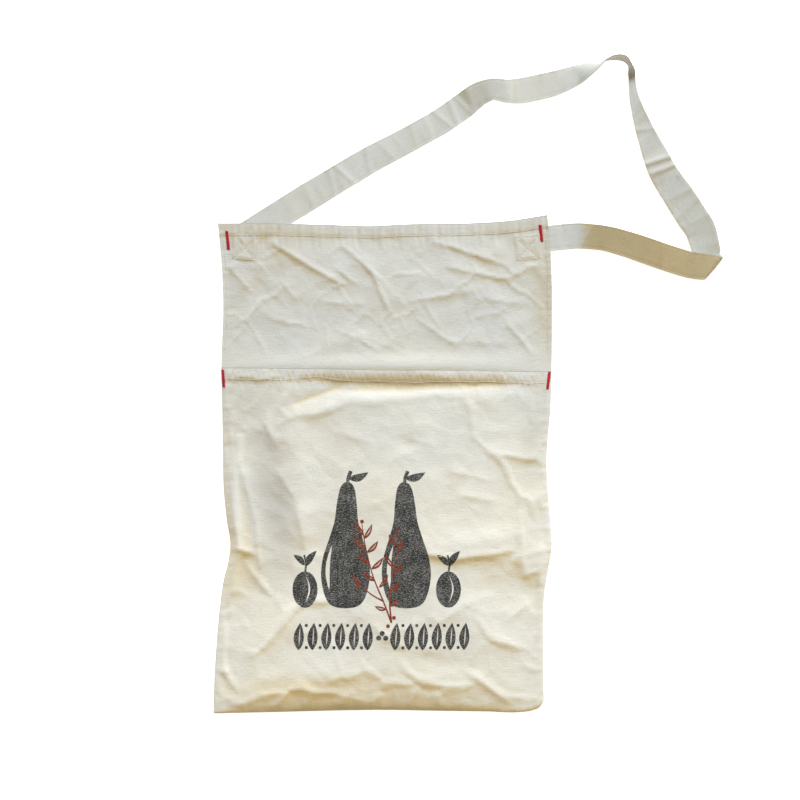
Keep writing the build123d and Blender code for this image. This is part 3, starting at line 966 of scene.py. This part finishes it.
middles = strap_points.mean(1)

# The strap's share of painted shade, as a tan tint: in its folds where it lies flat, and over the
# stretch before the right fold. As painted shade, the rise on the right is darkened, the corner on
# its edge is warmed, it is dulled where it leans towards the light, and its rims are darkened
flipped = np.swapaxes(strap_points, 0, 1)
strap_x, strap_y = flipped[..., 0], flipped[..., 1]
strap_painted_shade = 0.7 * painted_shade_share(flipped) * smooth(0.8, 0.98, np.abs(grid_normals(flipped)[..., 2]))
strap_painted_shade[:, : len(lead)] = np.maximum(strap_painted_shade[:, : len(lead)], lead_painted_shade.T)
strap_painted_shade -= 0.06 * smooth(290, 300, strap_x) * smooth(262, 282, strap_y)
strap_painted_shade += 0.22 * smooth(256, 266, strap_x) * smooth(462, 474, strap_y)
strap_painted_shade -= 0.24 * smooth(208, 232, strap_x) * smooth(260, 246, strap_x) * smooth(440, 450, strap_y)
# Painted shade: both rims of the strap are darkened
strap_painted_shade[[0, -1]] = -0.6
leaves_right = int(np.argmin(np.linalg.norm(middles[: len(lead)] - right_cut, axis=1)))
leaves_left = int(np.argmin(np.linalg.norm(middles - left_cut, axis=1)))


def strap_piece(name, first, last, *nodes):
    """A stretch of the strap, which shares its end rows and normals with its neighbours."""
    grids = [np.swapaxes(a, 0, 1) for a in (strap_points, strap_flat, strap_thick)]
    piece = shell(name, *grids, strap_canvas, slice(first, last), folds=strap_painted_shade)
    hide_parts(*nodes)
    return piece


strap_right = strap_piece("strap_right", 0, leaves_right + 1, "strap_right_tab")
strap_loop = strap_piece(
    "strap_loop", leaves_right, leaves_left + 1,
    "strap_return_run", "strap_fold", "strap_right_run", "strap_corner", "strap_left_run",
)
strap_left = strap_piece(
    "strap_left", leaves_left, len(strap_points), "strap_left_tab", "strap_left_turn",
)
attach(strap_loop, "strap")
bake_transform(strap_right)
swing_start, swing_end = (swing_at - 2 * swing_across) * MM, (swing_at + 14 * swing_across) * MM
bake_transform(strap_left)
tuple(swing_start)
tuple(swing_end)


# --- Stitching and bar tacks -----------------------------------------------------------------


def surface_lookup(grid, rows, head):
    """A function that gives places on a cloth's face and its normals, from x and y."""
    face, normal = grid[:rows], grid_normals(grid)[:rows]
    row_places = edge_steps(front_length if head is mouth_edge else back_length, row_step)
    row_places = row_places / row_places[-1]

    def look(x, y):
        s, v = unlined(np.asarray(x, float), np.asarray(y, float), head)
        c = np.clip(np.searchsorted(columns, s) - 1, 0, len(columns) - 2)
        r = np.clip(np.searchsorted(row_places, v) - 1, 0, rows - 2)
        ts = ((s - columns[c]) / (columns[c + 1] - columns[c]))[..., None]
        tv = ((v - row_places[r]) / (row_places[r + 1] - row_places[r]))[..., None]
        found = []
        for values in (face, normal):
            low = values[r, c] * (1 - ts) + values[r, c + 1] * ts
            high = values[r + 1, c] * (1 - ts) + values[r + 1, c + 1] * ts
            found.append(low * (1 - tv) + high * tv)
        return found[0], found[1] / np.linalg.norm(found[1], axis=-1, keepdims=True)

    return look


front_at = surface_lookup(front_grid, front_face_rows, mouth_edge)
back_at = surface_lookup(back_grid, back_face_rows, top_edge)


def threads(name, starts, ends, ups, radius, material, sink=0.25):
    """Short threads that lie on the cloth from starts to ends, each with rounded ends."""
    shares = np.array([0.0, 0.06, 0.25, 0.5, 0.75, 0.94, 1.0])
    widths = np.array([0.25, 0.75, 1.0, 1.05, 1.0, 0.75, 0.25])
    lifts = np.array([-0.8, -0.25, 0.1, 0.2, 0.1, -0.25, -0.8])
    sides = 8
    vertices, faces = [], []
    for start, end, up in zip(starts, ends, ups):
        along = (end - start) / max(np.linalg.norm(end - start), 1e-9)
        beside = np.cross(up, along)
        over = np.cross(along, beside)
        first = len(vertices)
        for share, width, lift in zip(shares, widths, lifts):
            above = cloth_thickness / 2 + radius * (1 + lift - sink)
            middle = start + (end - start) * share + over * above
            for k in range(sides):
                a = 2 * math.pi * k / sides
                vertices.append(middle + (beside * math.cos(a) + over * math.sin(a)) * radius * width)
        for ring in range(len(shares) - 1):
            for k in range(sides):
                a, b = first + ring * sides + k, first + ring * sides + (k + 1) % sides
                faces.append((a, b, b + sides, a + sides))
        faces.append(tuple(first + k for k in reversed(range(sides))))
        last = first + (len(shares) - 1) * sides
        faces.append(tuple(last + k for k in range(sides)))
    return make_mesh(name, vertices, faces, material)


def stitch_row(look, xs, ys, pitch=3.1, share=0.72, seed=0):
    """Stitches along a line through the places xs, ys: their starts, ends and normals."""
    random = np.random.default_rng(seed)
    run = summed(np.hypot(np.diff(xs), np.diff(ys)))
    count = int(run[-1] / pitch)
    at = np.arange(count) * run[-1] / count
    drift = random.normal(0, 0.10, (2, count))
    places = []
    for offset in (0.0, share * pitch):
        x, y = np.interp(at + offset, run, xs), np.interp(at + offset, run, ys)
        places.append(look(x + drift[0], y + drift[1]))
    return places[0][0], places[1][0], places[0][1]


def joined(rows):
    """Several rows of stitches as one."""
    return [np.concatenate(part) for part in zip(*rows)]


def sewn(piece, body, node):
    """Sets a piece of thread on its body, in place of its CAD node."""
    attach(piece, body)
    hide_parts(node)


def stitched(name, row, body, node, radius):
    sewn(threads(name, *row, radius, cream_thread), body, node)


# Rows run this far in from a hem's sewn edge, and this far in from the bib's sides. The hems'
# rows end at about these heights
hem_row_in, side_row_in = 1.8, 4.6
mouth_row_y, top_row_left_y, top_row_right_y = 104, 277, 285
hem_thread, fine_thread = 0.32, 0.32 * 0.9

x = np.linspace(left_edge(mouth_row_y) + 7, right_edge(mouth_row_y) - 7, 160)
row = stitch_row(front_at, x, mouth_edge(x) - hem_depth(x) + hem_row_in, seed=1)
stitched("mouth_hem_stitches", row, "pouch_front", "mouth_hem_stitching", hem_thread)
x = np.linspace(left_edge(top_row_left_y) + 4, right_edge(top_row_right_y) - 4, 160)
row = stitch_row(back_at, x, top_edge(x) - hem + hem_row_in, seed=2)
stitched("top_hem_stitches", row, "bib", "top_hem_stitching", hem_thread)
y = np.linspace(crease_y + 9, top_y - hem - 2, 90)
for side, x in (("left", left_edge(y) + side_row_in), ("right", right_edge(y) - side_row_in)):
    row = stitch_row(back_at, x, y, seed=3)
    stitched(f"bib_{side}_stitches", row, "bib", f"bib_{side}_hem_stitching", fine_thread)


def box_lines(box):
    """A crossed box's four sides and two diagonals, as pairs of corners."""
    centre, tilt = box
    h = box_size / 2
    a, b, c, d = (
        np.array(turned(u, v, -tilt)) + centre[:2] for u, v in ((-h, -h), (h, -h), (h, h), (-h, h))
    )
    return [(a, b), (b, c), (c, d), (d, a), (a, c), (b, d)]


for side, box in zip(("left", "right"), boxes):
    lines = [np.linspace(a, b, 60).T for a, b in box_lines(box)]
    row = joined([stitch_row(back_at, *line, pitch=2.9, share=0.74, seed=5) for line in lines])
    stitched(f"strap_{side}_box_stitches", row, "bib", f"strap_{side}_box_stitching", fine_thread)


tack_width, tack_stitches, tack_thread = 3.9, 27, 0.42


def bar_tack(name, look, low, high, seed):
    """Close red stitches side by side over two threads that run the length of the tack."""
    random = np.random.default_rng(seed)
    x, y = np.linspace(low, high, tack_stitches).T
    half = tack_width / 2 + random.normal(0, 0.12, tack_stitches)
    zig = np.where(np.arange(tack_stitches) % 2, 0.35, -0.35)
    starts, ups = look(x - half, y - zig)
    ends, _ = look(x + half, y + zig)
    beside = np.array([-0.6, 0.6])
    core_starts, core_ups = look(low[0] + beside, np.full(2, low[1]))
    core_ends, _ = look(high[0] + beside, np.full(2, high[1]))
    parts = joined([(starts, ends, ups), (core_starts, core_ends, core_ups)])
    return threads(name, *parts, tack_thread, red_thread, sink=0.1)


for place, body, look, low, high, seed in (
    ("mouth_%s_left", "root", front_at, (-194.6, 97.5), (-196.0, 117.6), 61),
    ("mouth_%s_right", "root", front_at, (193.0, 95.2), (195.2, 115.0), 62),
    ("bib_%s_left", "bib", back_at, (-189.0, 262.0), (-190.8, 283.2), 63),
    ("bib_%s_right", "bib", back_at, (186.0, 272.0), (184.0, 290.6), 64),
):
    sewn(bar_tack(place % "tack", look, low, high, seed), body, place % "bar_tack")


# --- Print: two pears, two plums, a row of leaves and a sprig over them -----------------------


def closed_curve(points, steps=9):
    """A smooth closed line through some points."""
    p = np.array(points, float)
    before, after, later = np.roll(p, 1, 0), np.roll(p, -1, 0), np.roll(p, -2, 0)
    t = np.linspace(0, 1, steps, endpoint=False)[None, :, None]
    a, b, c, d = (q[:, None] for q in (before, p, after, later))
    line = 2 * b + (c - a) * t + (2 * a - 5 * b + 4 * c - d) * t**2 + (3 * b - a - 3 * c + d) * t**3
    return 0.5 * line.reshape(-1, 2)


def open_curve(points, steps):
    """A smooth line through some points."""
    return carried(np.array(points, float), np.linspace(0, 1, len(points)), np.linspace(0, 1, steps))


def stroke(points, start_width, end_width):
    """A line with a width that tapers from its start to its end."""
    line = open_curve(points, 30)
    heading = np.gradient(line, axis=0)
    heading /= np.linalg.norm(heading, axis=1, keepdims=True)
    side = np.stack([-heading[:, 1], heading[:, 0]], -1)
    half = np.linspace(start_width, end_width, len(line))[:, None] / 2
    return np.concatenate([line + side * half, (line - side * half)[::-1]])


def leaf(base, tip, width, bend=0.0):
    """A pointed leaf from base to tip, curved to its left by bend."""
    base, tip = np.array(base, float), np.array(tip, float)
    run = tip - base
    side = np.array([-run[1], run[0]]) / np.linalg.norm(run)
    t = np.linspace(0, 1, 16)[:, None]
    spine = base + run * t + side * bend * np.sin(math.pi * t)
    half = side * width / 2 * np.sin(math.pi * t**0.85) ** 0.9
    return np.concatenate([spine + half, (spine - half)[-2:0:-1]])


def disc(centre, radius, tall=1.0):
    a = np.linspace(0, 2 * math.pi, 20, endpoint=False)
    return np.stack([centre[0] + radius * np.cos(a), centre[1] + radius * tall * np.sin(a)], -1)


def inside(points, loops):
    """Which points lie inside the loops, where a loop within another cuts a hole."""
    hit = np.zeros(len(points), bool)
    for loop in loops:
        for (ax, ay), (bx, by) in zip(loop, np.roll(loop, -1, 0)):
            crosses = (ay > points[:, 1]) != (by > points[:, 1])
            with np.errstate(divide="ignore", invalid="ignore"):
                at = (bx - ax) * (points[:, 1] - ay) / (by - ay) + ax
            hit ^= crosses & (points[:, 0] < at)
    return hit


def inked(name, shapes, material, layer=0, step=2.0):
    """A thin skin of ink that follows the front cloth. Each shape is a list of loops."""
    vertices, faces, flats = [], [], []
    for order, loops in enumerate(shapes):
        edge = np.concatenate(loops)
        edges, first = [], 0
        for loop in loops:
            edges += [(first + i, first + (i + 1) % len(loop)) for i in range(len(loop))]
            first += len(loop)
        low, high = edge.min(0), edge.max(0)
        gx, gy = np.meshgrid(np.arange(low[0], high[0], step), np.arange(low[1], high[1], step))
        fill = np.stack([gx.ravel(), gy.ravel()], -1)
        fill = fill[inside(fill, loops)]
        if len(fill):
            clear = np.linalg.norm(fill[:, None] - edge[None], axis=2).min(1) > 0.35 * step
            fill = fill[clear]
        seeds = [Vector(point) for point in np.concatenate([edge, fill])]
        found = geometry.delaunay_2d_cdt(seeds, edges, [], 0, 1e-5)
        places = np.array([tuple(v) for v in found[0]])
        triangles = np.array([tuple(f) for f in found[2]])
        triangles = triangles[inside(places[triangles].mean(1), loops)]
        spots, ups = front_at(places[:, 0], places[:, 1])
        rise = cloth_thickness / 2 + 0.11 + 0.03 * layer + 0.004 * (order % 8)
        faces += (triangles + sum(len(v) for v in vertices)).tolist()
        vertices.append(spots + ups * rise)
        flats.append(np.column_stack([places, np.zeros(len(places))]))
    piece = make_mesh(name, np.concatenate(vertices), faces, material)
    add_flat(piece, np.concatenate(flats))
    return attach(piece, "pouch_front")


def pear(x, foot, width, height, lean):
    """A pear with a stem, a leaf and a cut-out shine on its left."""
    side = [(0.20, 0.005), (0.40, 0.07), (0.50, 0.22), (0.47, 0.36), (0.35, 0.50), (0.245, 0.63),
            (0.205, 0.76), (0.15, 0.87), (0.06, 0.915)]
    body = side + [(-u, v) for u, v in reversed(side)]
    body = [(x + u * width + lean * v * v * height, foot + v * height) for u, v in body]
    head_x, head_y = x + lean * height * 0.8, foot + 0.90 * height
    tip_x, tip_y = head_x + 0.07 * width, foot + height
    shine = (x - 0.33 * width, foot + 0.13 * height), (x - 0.27 * width, foot + 0.46 * height)
    stem = [(head_x, head_y), ((head_x + tip_x) / 2 - 1, (head_y + tip_y) / 2), (tip_x, tip_y)]
    blade = (head_x + 1, foot + 0.945 * height), (head_x + 0.43 * width, foot + 0.99 * height)
    return [
        [closed_curve(body), leaf(*shine, 5.0, 3.5)],
        [stroke(stem, 3.6, 4.6)],
        [leaf(*blade, 9.0, -2.5)],
    ]


def plum(x, foot, width, height):
    """A plum with two leaves, and its crease cut out."""
    rise = 0.62 * height
    crease_cut = leaf((x + 1.0, foot + 0.10 * height), (x + 0.5, foot + 0.55 * height), 1.8, -4.5)
    stem = [(x, foot + 0.58 * height), (x + 1, foot + 0.75 * height), (x - 1, foot + 0.9 * height)]
    return [
        [disc((x, foot + rise / 2), width / 2, rise / width), crease_cut],
        [stroke(stem, 2.6, 2.0)],
        [leaf((x + 0.5, foot + 0.70 * height), (x + 0.46 * width, foot + 0.97 * height), 8.0, 1.5)],
        [leaf((x - 0.5, foot + 0.72 * height), (x - 0.46 * width, foot + 0.90 * height), 7.0, -1.5)],
    ]


def leaf_row(left, right, foot, height, count):
    """A border of upright leaves with small berries between them, and three larger ones in its
    middle."""
    shapes = []
    pitch = (right - left) / count
    tilt = 1.2
    for i in range(count):
        x = left + pitch * (i + 0.5)
        if i == count // 2:
            three = ((-4.2, 0.45), (4.2, 0.45), (0, 0.62))
            shapes += [[disc((x + u, foot + v * height), 3.0)] for u, v in three]
            continue
        rib = leaf((x - 0.6 * tilt, foot + 0.16 * height), (x + 0.7 * tilt, foot + 0.86 * height), 1.3)
        shapes.append([leaf((x - tilt, foot), (x + tilt, foot + height), 0.74 * pitch, 0.6 * tilt), rib])
        if i not in (0, count // 2 + 1):
            shapes.append([disc((x - pitch / 2, foot + 3.2), 1.9)])
            shapes.append([disc((x - pitch / 2, foot + height - 3.2), 1.9)])
    return shapes


def sprig():
    """A twig with narrow leaves and berries."""
    stems = [
        [(6, -184), (-3, -160), (-16, -128), (-25, -92), (-29, -66)],
        [(6, -184), (4, -158), (7, -128), (13, -100), (12, -78)],
        [(-4, -158), (-18, -150), (-32, -138)],
    ]
    shapes = [[stroke(points, 2.0, 0.9)] for points in stems]
    leaves = [
        (-27, -80, -37, -62, 5.5, 1.2), (-27, -84, -17, -66, 5.5, -1.2),
        (-25, -96, -38, -80, 6.0, 1.5), (-23, -100, -10, -86, 6.0, -1.5),
        (-20, -114, -34, -100, 6.0, 1.5), (-18, -120, -4, -106, 6.0, -1.5),
        (-13, -134, -28, -122, 5.5, 1.5), (-9, -142, 2, -126, 5.0, -1.5),
        (-31, -138, -40, -126, 4.5, 1), (12, -92, 3, -78, 5.0, 1.2), (13, -100, 19, -84, 5.0, -1.2),
        (9, -118, -1, -102, 5.0, 1.2), (8, -126, 19, -112, 5.5, -1.2),
        (5, -146, 17, -134, 5.5, -1.2), (3, -164, 16, -156, 5.0, -1.0),
        (0, -168, -14, -164, 5.0, 1.0),
    ]
    for x1, y1, x2, y2, width, bend in leaves:
        rib = [(x1 + (x2 - x1) * share, y1 + (y2 - y1) * share) for share in (0.2, 0.85)]
        shapes.append([leaf((x1, y1), (x2, y2), width, bend), leaf(*rib, 1.1, bend)])
    berries = [(-29, -63), (12, -75), (-34, -140), (9, -178), (2, -188)]
    return shapes + [[disc(place, 2.3)] for place in berries]


pear_place, plum_place = (-166.0, 58.0, 163.0), (-166.0, 30.0, 70.0)  # foot, width and height
pears = pear(-49.0, *pear_place, lean=0.02) + pear(24.0, *pear_place, lean=-0.02)
plums = plum(-97.0, *plum_place) + plum(74.0, *plum_place)
inked("print_fruit", pears + plums, charcoal_ink)
border = leaf_row(left=-112.0, right=102.0, foot=-217.0, height=33.0, count=13)
inked("print_border", border, charcoal_ink)
inked("print_sprig", sprig(), rust_ink, layer=2)


# --- Floor, light and camera -----------------------------------------------------------------

# It glows a little, so that it stays white round the bag as in the photo
floor_white = Nodes("floor").surface({
    "Base Color": (0.95, 0.95, 0.94, 1), "Roughness": 1.0, "Specular IOR Level": 0.0,
    "Emission Color": (1, 1, 1, 1), "Emission Strength": 0.75,
})
floor_size = 4000.0
corners = [(x * floor_size, y * floor_size, 0) for x, y in ((-1, -1), (1, -1), (1, 1), (-1, 1))]
make_mesh("floor", corners, [(0, 1, 2, 3)], floor_white, False)

# A cool light from beyond the bag's top, and a warm and even light all round
key_data = bpy.data.lights.new("key", "AREA")
key_data.shape, key_data.size, key_data.energy = "DISK", 2.8, 850.0
key_data.color = (0.925, 0.985, 1.05)
key = bpy.data.objects.new("key", key_data)
key.location = (1.7, 5.8, 3.8)
key.rotation_mode = "QUATERNION"
key.rotation_quaternion = (-key.location).to_track_quat("-Z", "Y")
bpy.context.scene.collection.objects.link(key)

world = bpy.data.worlds.new("studio")
world.use_nodes = True
background = world.node_tree.nodes["Background"]
background.inputs["Color"].default_value = (1.0, 0.875, 0.66, 1)
background.inputs["Strength"].default_value = 0.36
bpy.context.scene.world = world
bpy.context.scene.view_settings.view_transform = "Standard"

camera_data = bpy.data.cameras.new("camera")
camera_data.lens, camera_data.sensor_width = 85.0, 36.0
view_width = 0.96
camera = bpy.data.objects.new("camera", camera_data)
camera.location = (0.0162, 0.0816, view_width * camera_data.lens / camera_data.sensor_width)
bpy.context.scene.collection.objects.link(camera)
bpy.context.scene.camera = camera
